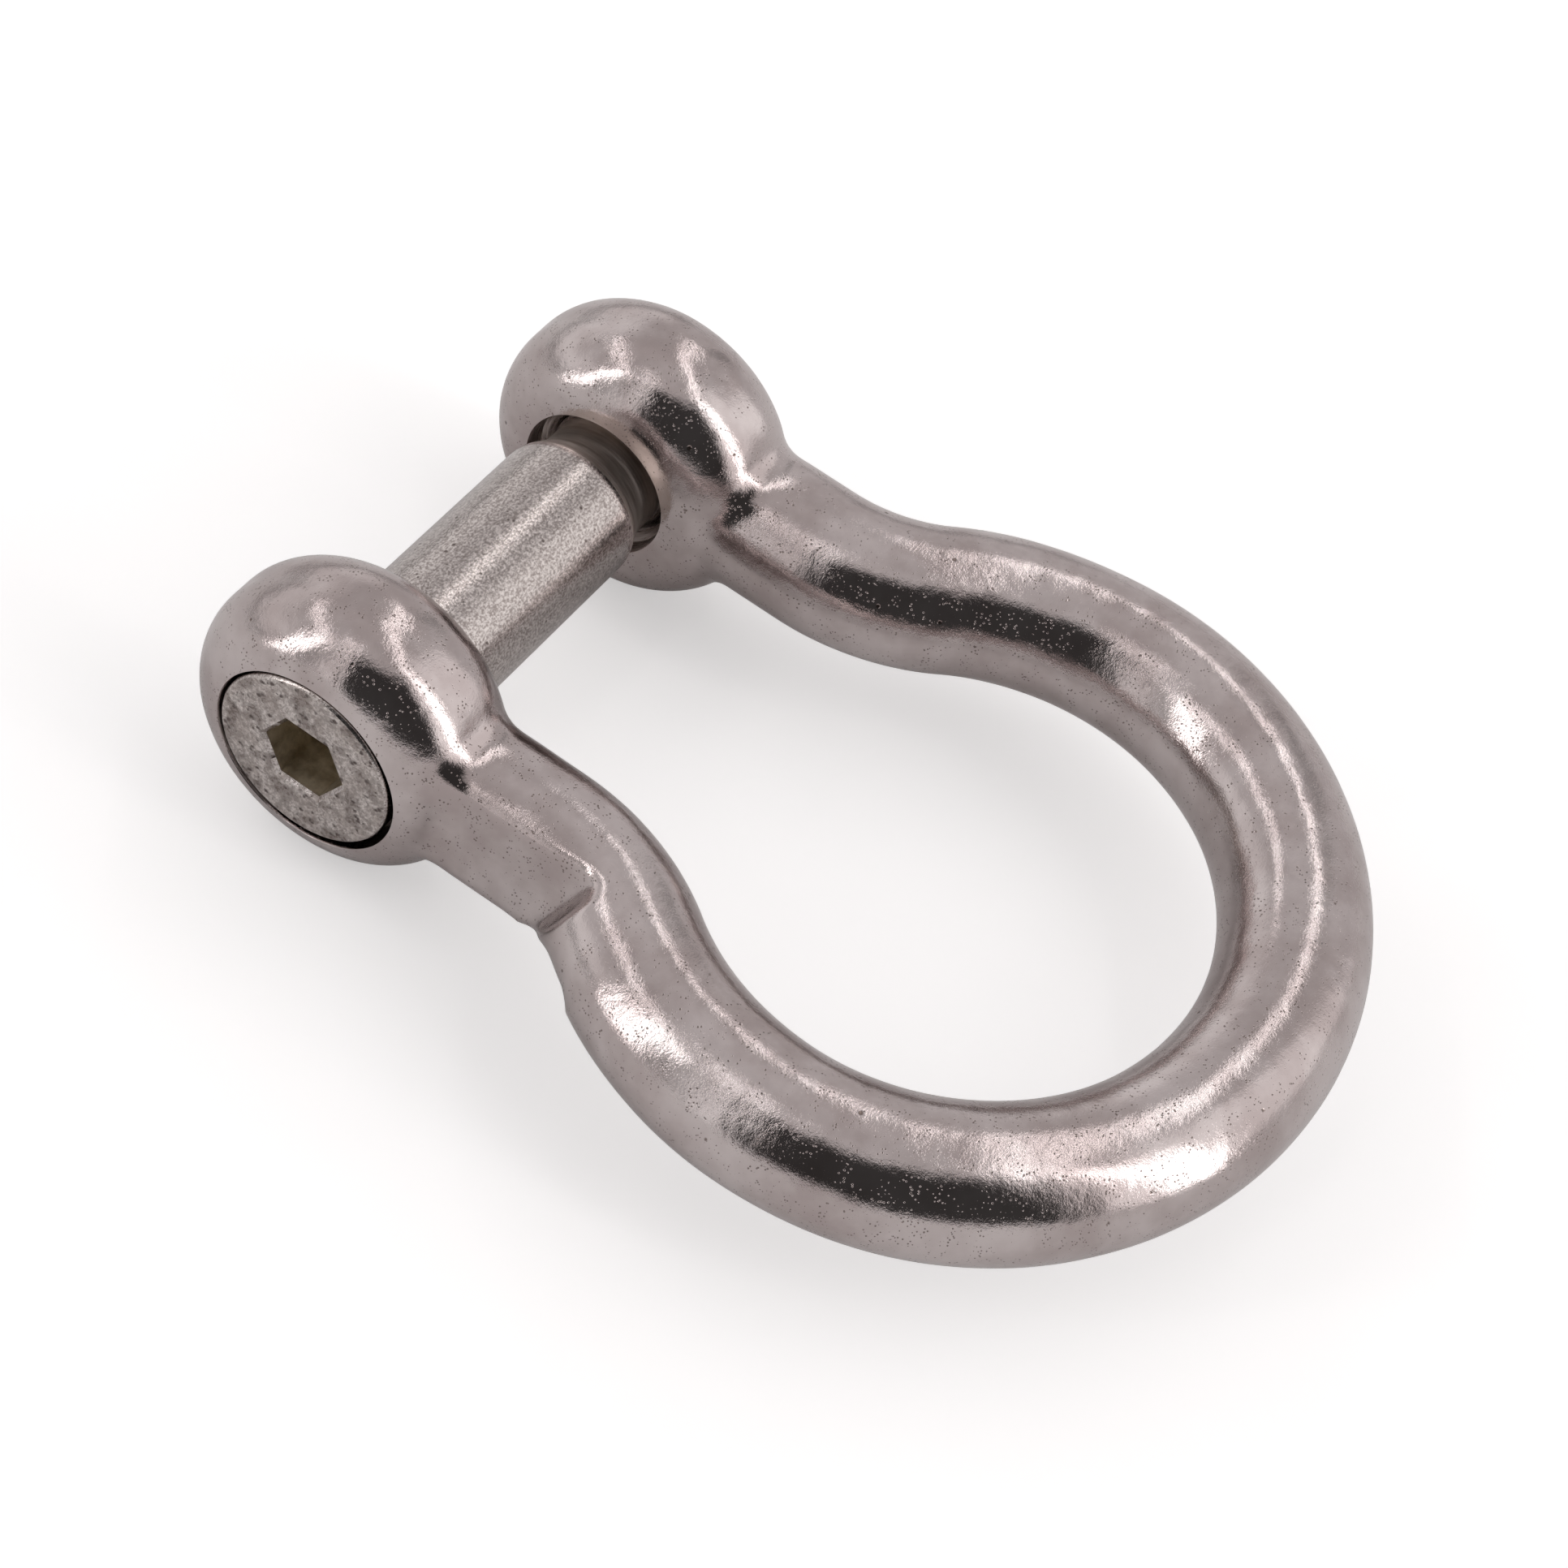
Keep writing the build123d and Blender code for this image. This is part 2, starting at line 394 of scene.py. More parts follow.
# the two holes
pinSizes = {
    "seatDepth": 3.1 * mm,        # ear's face to the small end of the conical seat
    "seatRimDip": 0.09 * mm,      # how far the polished face has sunk at the seat's rim
    "seatRound": 0.3 * mm,        # seat beyond the head, all round
    "seatShift": (0.13, -0.05),   # millimetres in Y and Z: the head leans on one side of its loose seat
    "seatSlack": 0.16 * mm,       # seat's cone below the head's, so that the leaning head clears it
    "holeRound": 0.6 * mm,        # plain hole beyond the shank, all round
    "rimWear": 0.14 * mm,         # worn roundness of the holes' edges
    "threadPitch": 1.5 * mm,
    "threadSlack": 0.08 * mm,
    "threadFirst": 1.6 * mm,      # first thread, inside the -X ear's face
    "mouthRound": 0.15 * mm,
    "mouthDepth": 1.2 * mm,
    "tapCrest": 0.1 * mm,         # the tap's crest is this much wider than the pin's
    "tapRings": 14,               # rings of mesh per turn of thread, in the ear
    "pinRings": 16,               # and on the pin
    "exitChamfer": 0.3 * mm,
    "overrun": 1 * mm,            # how far a cutting tool runs past the faces it cuts
    "faceRing": 1 * mm,           # first ring of the head's face, which the socket takes out
    "headEdge": 0.2 * mm,
    "shoulderLength": 2 * mm,
    "neckUnderRoot": 0.1 * mm,
    "endChamfer": 0.4 * mm,
    "keyAcross": 5 * mm,
    "keyDepth": 4.6 * mm,
    "keyChamfer": 0.25 * mm,
    "keyLead": (0.6, 0.7),        # millimetres: the key tool's top above the face, and its flare there
    "keyFloorRound": 0.2 * mm,
    "keyDrill": 1.3 * mm,         # depth of the drill's point
    "keyPoint": 0.3 * mm,
    "edgeRound": 0.5 * mm,        # how far the pin's corners are rounded
    "segments": 192,
}

shankMount = next(m for m in frame["record"]["mounts"] if m["name"] == "pin_shank")
shankRadius = shankMount["dims"]["r_mm"] * mm
headRadius = pinHigh.y
jawHalf = bowSizes["jawGap"] / 2
threadDepth = 0.5413 * pinSizes["threadPitch"]
threadCrest = pinSizes["threadPitch"] / 8
coreRadius = shankRadius - threadDepth
threadStartX = -jawHalf - pinSizes["threadFirst"]
shankHeadX = earOuter - pinSizes["seatDepth"] - pinSizes["holeRound"]
shankEndX = shankHeadX - shankMount["dims"]["length_mm"] * mm


def plainRings(station, angles):
    return np.full(len(angles), station[1])


def threadHeight(x, angles, crest):
    # height of the right-hand thread above its root at x, with the crest so wide
    place = np.mod(x / pinSizes["threadPitch"] - angles / (2 * math.pi) + 0.5, 1) - 0.5
    fromCrest = np.abs(place) * pinSizes["threadPitch"] - crest / 2
    return np.clip(threadDepth - fromCrest / math.tan(math.radians(30)), 0, threadDepth)


def makeSeatTool():
    # takes out the head's conical seat and the loose hole behind it
    seatRadius = headRadius + pinSizes["seatRound"]
    holeRadius = shankRadius + pinSizes["holeRound"]
    seatX = earOuter - pinSizes["seatDepth"] - pinSizes["seatSlack"]
    wear = pinSizes["rimWear"]
    rimX = earOuter - pinSizes["seatRimDip"]
    outline = [
        (earOuter + pinSizes["overrun"], seatRadius + 3 * wear),
        (rimX + 0.4 * wear, seatRadius + 0.9 * wear),
        (rimX - 0.5 * wear, seatRadius + 0.2 * wear),
        (rimX - 1.6 * wear, seatRadius),
        (seatX + seatRadius - holeRadius, seatRadius),
        (seatX, holeRadius),
        (jawHalf + 3 * wear, holeRadius),
        (jawHalf + wear, holeRadius + 0.3 * wear),
        (jawHalf - wear, holeRadius + 2 * wear),
        (jawHalf - pinSizes["overrun"], holeRadius + 4 * wear),
    ]
    seat = ringMesh("seatTool", outline, pinSizes["segments"], plainRings)
    shiftY, shiftZ = pinSizes["seatShift"]
    seat.data.transform(Matrix.Translation((0, shiftY * mm, shiftZ * mm)))
    return seat


def makeTapTool():
    # takes out the threaded hole of the -X ear, with its plain mouth and chamfered exit
    mouth = shankRadius + pinSizes["mouthRound"]
    tapCore = coreRadius + pinSizes["threadSlack"]
    floorX = -jawHalf - pinSizes["mouthDepth"]
    wear = pinSizes["rimWear"]
    exitX = threadDepth + pinSizes["exitChamfer"] - earOuter
    stations = [
        (pinSizes["overrun"] - jawHalf, mouth + 4 * wear),
        (wear - jawHalf, mouth + 1.5 * wear),
        (-jawHalf - wear, mouth + 0.2 * wear),
        (-jawHalf - 3 * wear, mouth),
        (floorX, mouth),
    ]
    step = pinSizes["threadPitch"] / pinSizes["tapRings"]
    x = floorX - step
    while x > -earOuter - pinSizes["overrun"]:
        cone = mouth - (floorX - x)
        flare = max(exitX - x, 0)
        stations.append((x, max(cone, tapCore + flare)))
        x -= step

    def cutRadius(station, angles):
        x, plain = station
        if x > floorX:
            return plainRings(station, angles)
        ridge = threadHeight(x, angles, threadCrest + pinSizes["tapCrest"])
        return np.maximum(tapCore + ridge, plain)

    return ringMesh("tapTool", stations, pinSizes["segments"], cutRadius)


def cutWith(made, tool):
    cut = made.modifiers.new("cut", "BOOLEAN")
    cut.operation = "DIFFERENCE"
    cut.object = tool
    cut.solver = "EXACT"
    settle(made)
    drop(tool)


def makeBow():
    bow = makeBowBlank()
    for _ in range(2):
        evenSkin(bow)
        points, _normals = pressOnSkin(getPoints(bow.data))
        setPoints(bow.data, points)
    points, normals = evenOut(bow.data, points)
    # the waves and lumps only go inwards, so nothing stands proud of the true form
    waves = np.array([noise.noise(Vector(p) / handPolish["waveLength"]) for p in points])
    lumps = np.array([noise.noise(Vector(p) / handPolish["lumpLength"]) for p in points])
    crease = np.exp(-((barSkin(points) - earSkin(points)) / handPolish["creaseWidth"]) ** 2)
    crease *= (np.abs(points[:, 0]) < earOuter) & (points[:, 1] > handPolish["creaseFrom"])
    depth = (0.5 + 0.5 * waves) * handPolish["waveDepth"]
    depth += (0.5 + 0.5 * lumps) * (handPolish["lumpDepth"] + handPolish["creaseDepth"] * crease)
    points = points - normals * (depth * mm)[:, None]
    points[:, 0] = np.clip(points[:, 0], bowLow.x, bowHigh.x)
    setPoints(bow.data, points)
    print("bow skin:", len(points), "points")
    cutWith(bow, makeSeatTool())
    cutWith(bow, makeTapTool())
    return bow


# the pin
def makePin():
    headX = pinHigh.x
    endX = pinLow.x
    edge = pinSizes["headEdge"]
    neckRadius = coreRadius - pinSizes["neckUnderRoot"]
    outline = [
        (headX, pinSizes["faceRing"]),
        (headX, headRadius - edge),
        (headX - edge, headRadius),
        (shankHeadX + headRadius - shankRadius, headRadius),
        (shankHeadX, shankRadius),
        (shankEndX, shankRadius),
        (shankEndX - pinSizes["shoulderLength"], neckRadius),
        (threadStartX, neckRadius),
    ]
    stations = roundCorners(outline, pinSizes["edgeRound"], 6)
    step = pinSizes["threadPitch"] / pinSizes["pinRings"]
    x = threadStartX - step
    while x > endX:
        stations.append((x, coreRadius))
        x -= step
    stations.append((endX, coreRadius - pinSizes["endChamfer"]))

    def turnedRadius(station, angles):
        x, plain = station
        if x >= threadStartX:
            return plainRings(station, angles)
        runIn = neckRadius + (threadStartX - x)
        runOut = coreRadius - pinSizes["endChamfer"] + (x - endX)
        ridge = threadHeight(x, angles, threadCrest)
        return np.minimum(coreRadius + ridge, min(runIn, runOut))

    pin = ringMesh("pinTurned", stations, pinSizes["segments"], turnedRadius)
    cutWith(pin, makeKeyTool(headX))
    return pin


def makeKeyTool(faceX):
    # six-sided socket, one corner up, chamfered at its mouth and drilled to a point
    across = pinSizes["keyAcross"] / 2
    corner = across / math.cos(math.pi / 6)
    mouth = (across + pinSizes["keyChamfer"]) / math.cos(math.pi / 6)
    floorX = faceX - pinSizes["keyDepth"]
    lead, flare = pinSizes["keyLead"]
    rings = [
        (faceX + lead * mm, mouth + flare * mm),
        (faceX, mouth),
        (faceX - pinSizes["keyChamfer"], corner),
        (floorX + pinSizes["keyFloorRound"], corner),
        (floorX, corner - pinSizes["keyFloorRound"]),
        (floorX - pinSizes["keyDrill"], pinSizes["keyPoint"]),
    ]
    pointsPerSide = 6

    def keyRadius(station, angles):
        turn = np.mod(angles + math.pi / 3, math.pi / 3) - math.pi / 6
        return station[1] * math.cos(math.pi / 6) / np.cos(turn)

    key = ringMesh("keyTool", rings, 6 * pointsPerSide, keyRadius)
    key.data.polygons.foreach_set("use_smooth", [False] * len(key.data.polygons))
    return key


# materials. Each finish wanders between a darker and a lighter tone.
tones = {
    "castPolish": ((0.47, 0.405, 0.395), (0.64, 0.58, 0.57)),
    "castGrime": ((0.10, 0.075, 0.065), (0.30, 0.24, 0.22)),
    "brushedShank": ((0.30, 0.26, 0.245), (0.72, 0.67, 0.645)),
    "neckPolish": ((0.46, 0.405, 0.365), (0.62, 0.565, 0.525)),
    "mattHead": ((0.34, 0.295, 0.275), (0.84, 0.79, 0.76)),
    "socketBrown": ((0.33, 0.275, 0.19), (0.66, 0.58, 0.45)),
    "machinedBore": ((0.34, 0.29, 0.27), (0.56, 0.51, 0.49)),
    "paleFloor": ((0.80, 0.80, 0.80), (0.86, 0.86, 0.86)),
}
marks = {
    "shankSpecks": (0.14, 0.11, 0.10),
    "headStains": (0.36, 0.30, 0.27),
    "headCrust": (0.15, 0.115, 0.10),
    "headPits": (0.16, 0.13, 0.12),
}


class Finish:
    # a material's nodes, with textures laid out in millimetres on the object

    def __init__(self, name, settings):
        self.material = bpy.data.materials.new(name)
        self.material.use_nodes = True
        self.tree = self.material.node_tree
        self.shader = self.tree.nodes["Principled BSDF"]
        place = self.node("ShaderNodeTexCoord")
        self.scale = self.node("ShaderNodeVectorMath", operation="SCALE")
        self.scale.inputs["Scale"].default_value = 1 / mm
        self.link(place.outputs["Object"], self.scale.inputs[0])
        self.coords = self.scale.outputs[0]
        for socket, value in settings.items():
            self.shader.inputs[socket].default_value = value

    def node(self, kind, **values):
        made = self.tree.nodes.new(kind)
        for key, value in values.items():
            setattr(made, key, value)
        return made

    def link(self, source, target):
        self.tree.links.new(source, target)

    def stretched(self, scale):
        mapping = self.node("ShaderNodeMapping")
        mapping.inputs["Scale"].default_value = scale
        self.link(self.coords, mapping.inputs["Vector"])
        return mapping.outputs["Vector"]

    def noise(self, scale, detail=4, rough=0.55, coords=None):
        made = self.node("ShaderNodeTexNoise")
        made.inputs["Scale"].default_value = scale
        made.inputs["Detail"].default_value = detail
        made.inputs["Roughness"].default_value = rough
        self.link(coords or self.coords, made.inputs["Vector"])
        return made.outputs["Fac"]

    def cells(self, scale):
        made = self.node("ShaderNodeTexVoronoi")
        made.inputs["Scale"].default_value = scale
        self.link(self.coords, made.inputs["Vector"])
        return made

    def fit(self, value, low, high, toLow=0.0, toHigh=1.0):
        made = self.node("ShaderNodeMapRange", interpolation_type="SMOOTHSTEP")
        made.inputs["From Min"].default_value = low
        made.inputs["From Max"].default_value = high
        made.inputs["To Min"].default_value = toLow
        made.inputs["To Max"].default_value = toHigh
        self.link(value, made.inputs["Value"])
        return made.outputs["Result"]

    def sums(self, operation, a, b):
        made = self.node("ShaderNodeMath", operation=operation)
        for socket, value in zip(made.inputs, (a, b)):
            if isinstance(value, (int, float)):
                socket.default_value = value
            else:
                self.link(value, socket)
        return made.outputs[0]

    def colours(self, factor, first, second):
        made = self.node("ShaderNodeMix", data_type="RGBA")
        self.link(factor, made.inputs["Factor"])
        for socket, value in ((made.inputs["A"], first), (made.inputs["B"], second)):
            if isinstance(value, tuple):
                socket.default_value = (*value, 1)
            else:
                self.link(value, socket)
        return made.outputs["Result"]

    def bump(self, height, depth, before=None):
        made = self.node("ShaderNodeBump")
        made.inputs["Strength"].default_value = 1
        made.inputs["Distance"].default_value = depth
        self.link(height, made.inputs["Height"])
        if before is not None:
            self.link(before, made.inputs["Normal"])
        return made.outputs["Normal"]


def castPolish():
    # polished cast stainless steel: pits and specks all over, faint wheel marks, a warm grey tone
    look = Finish("castPolish", {"Metallic": 1.0, "IOR": 2.5})
    blotches = look.noise(0.16, 4, 0.6)
    tone = look.colours(look.fit(blotches, 0.32, 0.68), *tones["castPolish"])
    # open pits from the casting, in patches
    pits = look.cells(0.75)
    pitSize = look.fit(look.noise(0.5, 3), 0.45, 0.7, 0.0, 0.13)
    pitted = look.fit(look.sums("SUBTRACT", pitSize, pits.outputs["Distance"]), -0.03, 0.05)
    # much finer specks everywhere
    specks = look.cells(4.2)
    speckSize = look.fit(look.noise(0.9, 3), 0.38, 0.64, 0.03, 0.26)
    speckled = look.fit(look.sums("SUBTRACT", speckSize, specks.outputs["Distance"]), -0.06, 0.08)
    dark = look.sums("MAXIMUM", pitted, look.sums("MULTIPLY", speckled, 0.85))
    grime = look.colours(look.noise(1.5, 2), *tones["castGrime"])
    look.link(look.colours(dark, tone, grime), look.shader.inputs["Base Color"])
    haze = look.fit(look.noise(0.6, 5, 0.65), 0.3, 0.72, 0.03, 0.1)
    look.link(look.sums("ADD", haze, look.sums("MULTIPLY", dark, 0.14)), look.shader.inputs["Roughness"])
    ripples = look.bump(look.noise(0.4, 2, 0.4), 0.09 * mm)
    orangePeel = look.bump(look.noise(2.4, 3, 0.6), 0.014 * mm, ripples)
    grain = look.bump(look.noise(7, 3, 0.7), 0.011 * mm, orangePeel)
    wheel = look.bump(look.noise(5, 3, 0.6, look.stretched((0.5, 1.3, 1.3))), 0.0015 * mm, grain)
    look.link(look.bump(look.sums("MULTIPLY", dark, -1), 0.022 * mm, wheel), look.shader.inputs["Normal"])
    return look.material


def brushedShank():
    # turned and brushed steel: fine rings round the pin, a bright crumbly grain and small pits
    look = Finish("brushedShank", {"Metallic": 1.0, "IOR": 2.5})
    rings = look.noise(1.0, 6, 0.7, look.stretched((9, 2.5, 2.5)))
    grain = look.noise(6.5, 3, 0.7, look.stretched((0.75, 1, 1)))
    brushing = look.sums("ADD", look.sums("MULTIPLY", rings, 0.25), look.sums("MULTIPLY", grain, 0.75))
    tone = look.colours(look.fit(brushing, 0.38, 0.62), *tones["brushedShank"])
    specks = look.cells(1.6)
    speckSize = look.fit(look.noise(0.7, 2), 0.45, 0.7, 0, 0.2)
    speckled = look.fit(look.sums("SUBTRACT", speckSize, specks.outputs["Distance"]), -0.04, 0.05)
    look.link(look.colours(speckled, tone, marks["shankSpecks"]), look.shader.inputs["Base Color"])
    look.link(look.fit(brushing, 0.35, 0.65, 0.12, 0.22), look.shader.inputs["Roughness"])
    look.link(look.bump(brushing, 0.018 * mm), look.shader.inputs["Normal"])
    return look.material


def neckPolish():
    # the smooth turned shoulder and neck, browned a little
    look = Finish("neckPolish", {"Metallic": 1.0, "IOR": 2.4})
    rings = look.noise(1.0, 4, 0.6, look.stretched((5, 0.3, 0.3)))
    tone = look.colours(look.fit(rings, 0.3, 0.7), *tones["neckPolish"])
    look.link(tone, look.shader.inputs["Base Color"])
    look.link(look.fit(rings, 0.3, 0.7, 0.34, 0.46), look.shader.inputs["Roughness"])
    look.link(look.bump(rings, 0.02 * mm), look.shader.inputs["Normal"])
    return look.material


def mattHead():
    # the head's flat face: dull, pitted, scratched and stained
    look = Finish("mattHead", {"Metallic": 1.0, "IOR": 2.3})
    grit = look.noise(4.0, 6, 0.75)
    stains = look.fit(look.noise(0.55, 5, 0.7), 0.42, 0.62)
    pits = look.cells(2.1)
    pitSize = look.sums("MULTIPLY", look.fit(look.noise(0.8, 4, 0.65), 0.42, 0.62), 0.42)
    pitted = look.fit(look.sums("SUBTRACT", pitSize, pits.outputs["Distance"]), -0.1, 0.22)
    crust = look.fit(look.noise(0.7, 4, 0.65), 0.48, 0.62)
    crust = look.sums("MULTIPLY", crust, look.fit(grit, 0.42, 0.56))
    tone = look.colours(look.fit(grit, 0.36, 0.64), *tones["mattHead"])
    tone = look.colours(look.sums("MULTIPLY", stains, 0.35), tone, marks["headStains"])
    tone = look.colours(look.sums("MULTIPLY", crust, 0.85), tone, marks["headCrust"])
    look.link(look.colours(pitted, tone, marks["headPits"]), look.shader.inputs["Base Color"])
    look.link(look.fit(grit, 0.3, 0.7, 0.3, 0.5), look.shader.inputs["Roughness"])
    rough = look.bump(grit, 0.06 * mm)
    look.link(look.bump(look.sums("MULTIPLY", pitted, -1), 0.12 * mm, rough), look.shader.inputs["Normal"])
    return look.material


def socketBrown():
    # broached socket, brown with old oil
    look = Finish("socketBrown", {"Metallic": 0.7, "IOR": 1.8})
    stain = look.noise(0.9, 5, 0.65)
    tone = look.colours(look.fit(stain, 0.3, 0.7), *tones["socketBrown"])
    look.link(tone, look.shader.inputs["Base Color"])
    look.link(look.fit(stain, 0.3, 0.7, 0.3, 0.5), look.shader.inputs["Roughness"])
    broaching = look.noise(4, 4, 0.6, look.stretched((0.3, 1, 1)))
    look.link(look.bump(broaching, 0.05 * mm), look.shader.inputs["Normal"])
    return look.material


def machinedBore():
    # tool marks in the holes and on the thread, a shade darker than the polish
    look = Finish("machinedBore", {"Metallic": 1.0, "IOR": 2.4})
    tool = look.noise(1.0, 5, 0.65, look.stretched((7, 0.4, 0.4)))
    tone = look.colours(look.fit(tool, 0.3, 0.7), *tones["machinedBore"])
    look.link(tone, look.shader.inputs["Base Color"])
    look.link(look.fit(tool, 0.3, 0.7, 0.22, 0.4), look.shader.inputs["Roughness"])
    look.link(look.bump(tool, 0.04 * mm), look.shader.inputs["Normal"])
    return look.material


def faceCentres(mesh):
    centres = np.zeros(len(mesh.polygons) * 3, np.float32)
    mesh.polygons.foreach_get("center", centres)
    return centres.reshape(-1, 3).astype(float)


# how far inside or outside a face's own size a finish still counts
finishEdges = {
    "rimPolish": 0.16 * mm,       # the polish runs this far into the seat
    "jawPolish": 0.1 * mm,        # and this far into the holes from the jaw
    "exitPolish": 0.02 * mm,
    "seatOver": 0.02 * mm,
    "tapOver": 0.03 * mm,
    "headFace": 0.05 * mm,
    "keyChamferOver": 0.3 * mm,
    "keyBelow": 2 * mm,
    "shankOver": 0.15 * mm,
}


def finishBow(bow):
    bow.data.materials.clear()
    bow.data.materials.append(castPolish())
    bow.data.materials.append(machinedBore())
    centres = faceCentres(bow.data)
    radius = np.hypot(centres[:, 1], centres[:, 2])
    inSeat = centres[:, 0] > jawHalf + finishEdges["jawPolish"]
    inSeat &= centres[:, 0] < earOuter - finishEdges["rimPolish"]
    inSeat &= radius < headRadius + pinSizes["seatRound"] + finishEdges["seatOver"]
    inTap = centres[:, 0] < -jawHalf - finishEdges["jawPolish"]
    inTap &= centres[:, 0] > finishEdges["exitPolish"] - earOuter
    inTap &= radius < shankRadius + pinSizes["mouthRound"] + finishEdges["tapOver"]
    bow.data.polygons.foreach_set("material_index", (inSeat | inTap).astype(np.int32))
    bow.data.set_sharp_from_angle(angle=math.radians(38))


def finishPin(pin):
    pin.data.materials.clear()
    for made in (brushedShank(), mattHead(), socketBrown(), machinedBore(), neckPolish()):
        pin.data.materials.append(made)
    centres = faceCentres(pin.data)
    radius = np.hypot(centres[:, 1], centres[:, 2])
    kind = np.zeros(len(centres), np.int32)
    kind[centres[:, 0] > pinHigh.x - finishEdges["headFace"]] = 1
    inKey = centres[:, 0] < pinHigh.x - finishEdges["keyChamferOver"]
    inKey &= centres[:, 0] > pinHigh.x - pinSizes["keyDepth"] - finishEdges["keyBelow"]
    inKey &= radius < headRadius / 2
    kind[inKey] = 2
    kind[centres[:, 0] < shankEndX - finishEdges["shankOver"]] = 4
    kind[centres[:, 0] < threadStartX] = 3
    pin.data.polygons.foreach_set("material_index", kind)
    pin.data.set_sharp_from_angle(angle=math.radians(30))


# studio
shot = {
    "azimuth": 108.65,
    "elevation": 50.82,
    "roll": 18.99,
    "distance": 227.81 * mm,
    "aim": Vector((1.59, 22.74, 0)) * mm,
    "lens": 85.68,
    "film": 36,
    "nearest": 0.01,
}
floorSize = 3.0                   # half its side
floorGlow = 0.42


def placeCamera():
    around = math.radians(shot["azimuth"])
    above = math.radians(shot["elevation"])
    turn = math.radians(shot["roll"])
    level = math.cos(above)
    back = Vector((math.sin(around) * level, -math.cos(around) * level, math.sin(above)))
    across = (-back).cross(Vector((0, 0, 1))).normalized()
    upright = across.cross(-back)
    right = math.cos(turn) * across + math.sin(turn) * upright
    up = math.cos(turn) * upright - math.sin(turn) * across
    camera = bpy.data.objects.new("shotCamera", bpy.data.cameras.new("shotCamera"))
    camera.data.lens = shot["lens"]
    camera.data.sensor_width = shot["film"]
    camera.data.clip_start = shot["nearest"]
    aimed = Matrix((right, up, back)).transposed().to_4x4()
    camera.matrix_world = Matrix.Translation(shot["aim"] + back * shot["distance"]) @ aimed
    bpy.context.scene.collection.objects.link(camera)
    bpy.context.scene.camera = camera


def makeFloor():
    height = cadBox[0][2]
    corners = [(x * floorSize, y * floorSize, height) for x, y in ((-1, -1), (1, -1), (1, 1), (-1, 1))]
    floor = newMesh("studioFloor", corners, [(0, 1, 2, 3)])
    look = Finish("paleFloor", {"Roughness": 0.85, "Specular IOR Level": 0.2})
    tone = look.colours(look.noise(0.05, 3), *tones["paleFloor"])
    look.link(tone, look.shader.inputs["Base Color"])
    look.shader.inputs["Emission Color"].default_value = (1, 1, 1, 1)
    # it glows like a light table, though only to the eye, so the steel mirrors a greyer floor
    seen = look.node("ShaderNodeLightPath")
    glow = look.sums("MULTIPLY", seen.outputs["Is Camera Ray"], floorGlow)
    look.link(glow, look.shader.inputs["Emission Strength"])
    floor.data.materials.append(look.material)


# the light tent, as seen from the shackle. Walls: middle azimuth, half width, lowest and highest
# elevation and softness in degrees, then brightness. Azimuth 0 is +X and 90 is +Y.
tentWalls = [
    ("paleCorner", 122, 22, 6, 58, 9, 1.05),
    ("lowWall", 255, 50, -1, 24, 8, 0.82),
    ("leftStrip", 98, 5, -8, 62, 2.5, 4.4),
    ("leftFold", 84, 4, 2, 58, 3, 1.5),
    ("rightStrip", 317, 2.8, -6, 46, 2.0, 5.5),
    ("rightFold", 328, 7, 0, 42, 4, 0.44),
    ("rightCloth", 344, 5, 0, 42, 4, 0.95),
    ("openingCorner", -12, 5, 34, 56, 3, 0.06),
    ("darkFold", 176, 3, 14, 42, 2, 0.3),
    ("tableEdge", 248, 55, -2, 4, 2, 0.16),
    ("cameraOpening", 32, 41, 1, 62, 3, 0.05),
]

# strips across the tent's roof: two ends as seen one unit above, half width, softness, brightness
roofStrips = [
    ("roofStripBack", (0.05, 0.48), (-0.97, -0.22), 0.03, 0.03, 4.6),
    ("roofStripSide", (0.25, -0.21), (1.6, -0.33), 0.014, 0.02, 5.0),
    ("roofStripFront", (-0.7, -1.36), (0.62, -0.62), 0.022, 0.025, 6.0),
]
tentTone = (0.60, 0.575, 0.575)
clothScale = 2.2
clothContrast = 0.28
stripTint = (1, 0.97, 0.965)


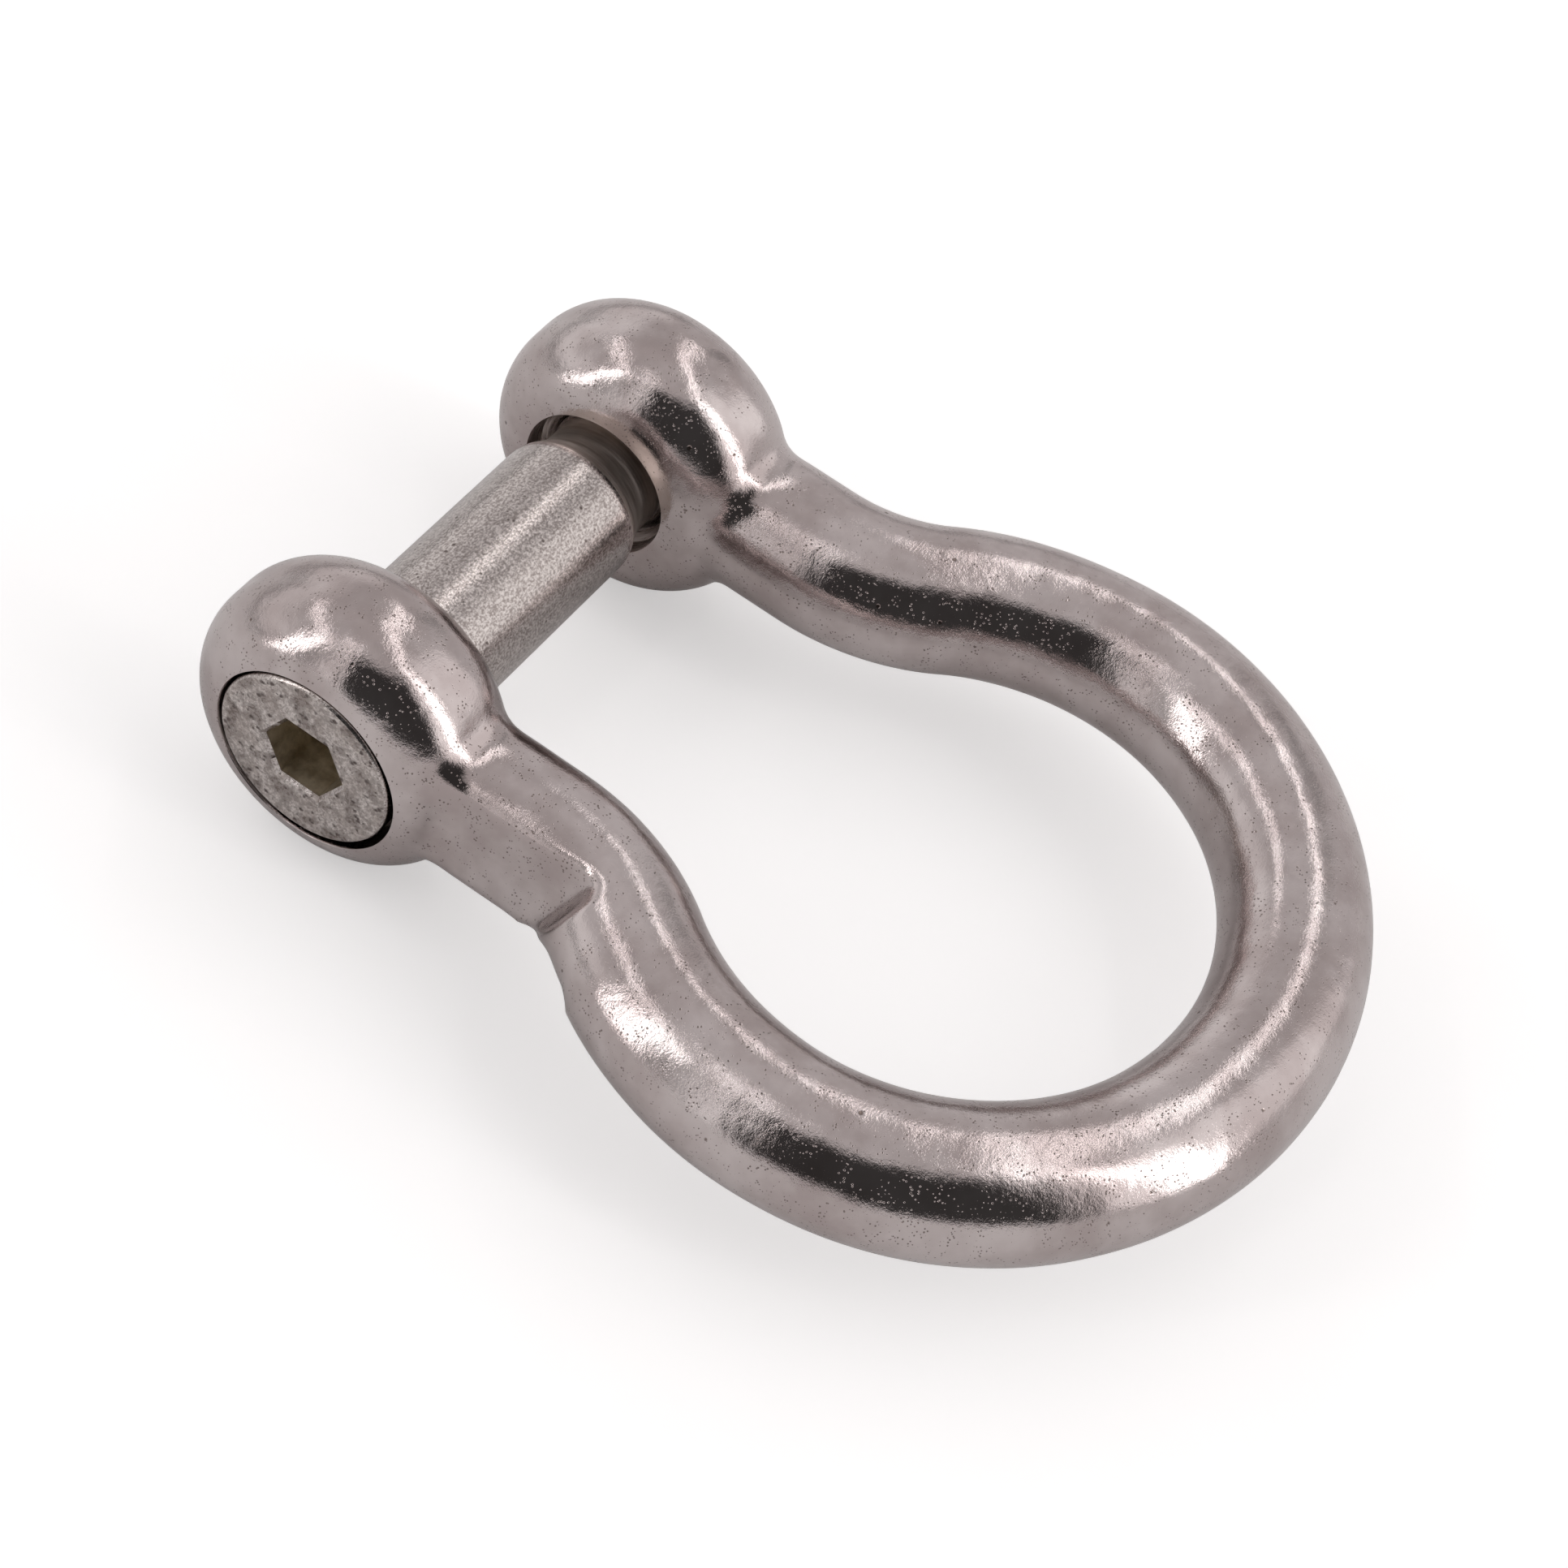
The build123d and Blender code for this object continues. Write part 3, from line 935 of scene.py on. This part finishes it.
def makeTent():
    # a light tent in the world's shader: even grey cloth, bright strips and the dark camera opening
    world = bpy.data.worlds.new("lightTent")
    bpy.context.scene.world = world
    world.use_nodes = True
    tree = world.node_tree
    direction = tree.nodes.new("ShaderNodeTexCoord").outputs["Generated"]

    def maths(operation, a, b=0.0):
        made = tree.nodes.new("ShaderNodeMath")
        made.operation = operation
        for socket, value in zip(made.inputs, (a, b)):
            if isinstance(value, (int, float)):
                socket.default_value = value
            else:
                tree.links.new(value, socket)
        return made.outputs[0]

    def along(axis):
        made = tree.nodes.new("ShaderNodeVectorMath")
        made.operation = "DOT_PRODUCT"
        tree.links.new(direction, made.inputs[0])
        made.inputs[1].default_value = axis
        return made.outputs["Value"]

    def within(value, half, soft):
        made = tree.nodes.new("ShaderNodeMapRange")
        made.interpolation_type = "SMOOTHSTEP"
        made.inputs["From Min"].default_value = half + soft / 2
        made.inputs["From Max"].default_value = half - soft / 2
        tree.links.new(maths("ABSOLUTE", value), made.inputs["Value"])
        return made.outputs["Result"]

    def paint(under, mask, light):
        made = tree.nodes.new("ShaderNodeMix")
        made.data_type = "RGBA"
        tree.links.new(mask, made.inputs["Factor"])
        tree.links.new(under, made.inputs["A"])
        made.inputs["B"].default_value = (*(light * c for c in stripTint), 1)
        return made.outputs["Result"]

    upward = along((0, 0, 1))
    elevation = maths("ARCSINE", upward)
    cloth = tree.nodes.new("ShaderNodeTexNoise")
    cloth.inputs["Scale"].default_value = clothScale
    cloth.inputs["Detail"].default_value = 3
    tree.links.new(direction, cloth.inputs["Vector"])
    tone = tree.nodes.new("ShaderNodeMix")
    tone.data_type = "RGBA"
    tree.links.new(cloth.outputs["Fac"], tone.inputs["Factor"])
    tone.inputs["A"].default_value = (*(c * (1 - clothContrast) for c in tentTone), 1)
    tone.inputs["B"].default_value = (*(c * (1 + clothContrast) for c in tentTone), 1)
    colour = tone.outputs["Result"]
    for _name, middle, half, low, high, soft, light in tentWalls:
        turn = math.radians(middle)
        ahead = along((math.cos(turn), math.sin(turn), 0))
        beside = along((-math.sin(turn), math.cos(turn), 0))
        across = within(maths("ARCTAN2", beside, ahead), math.radians(half), math.radians(soft))
        middleUp = math.radians((low + high) / 2)
        halfUp = math.radians(high - low) / 2
        upDown = within(maths("SUBTRACT", elevation, middleUp), halfUp, math.radians(soft))
        colour = paint(colour, maths("MULTIPLY", across, upDown), light)
    for _name, start, end, half, soft, light in roofStrips:
        run = Vector(end) - Vector(start)
        length = run.length
        run.normalize()
        side = Vector((-run.y, run.x))
        height = maths("MAXIMUM", upward, 0.02)
        middle = (Vector(start) + Vector(end)) / 2
        lengthwise = maths("DIVIDE", along((run.x, run.y, -run.dot(middle))), height)
        crosswise = maths("DIVIDE", along((side.x, side.y, -side.dot(middle))), height)
        mask = maths("MULTIPLY", within(lengthwise, length / 2, soft * 3), within(crosswise, half, soft))
        colour = paint(colour, mask, light)
    background = tree.nodes["Background"]
    tree.links.new(colour, background.inputs["Color"])
    background.inputs["Strength"].default_value = 1.0


bpy.context.scene.view_settings.view_transform = "Standard"
placeCamera()
makeFloor()
makeTent()
print("studio ready")

bow = makeBow()
finishBow(bow)
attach(bow, "bow")
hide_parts("bow")
print("bow finished:", len(bow.data.polygons), "faces")

pin = makePin()
finishPin(pin)
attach(pin, "pin")
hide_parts("pin")
print("pin finished:", len(pin.data.polygons), "faces")
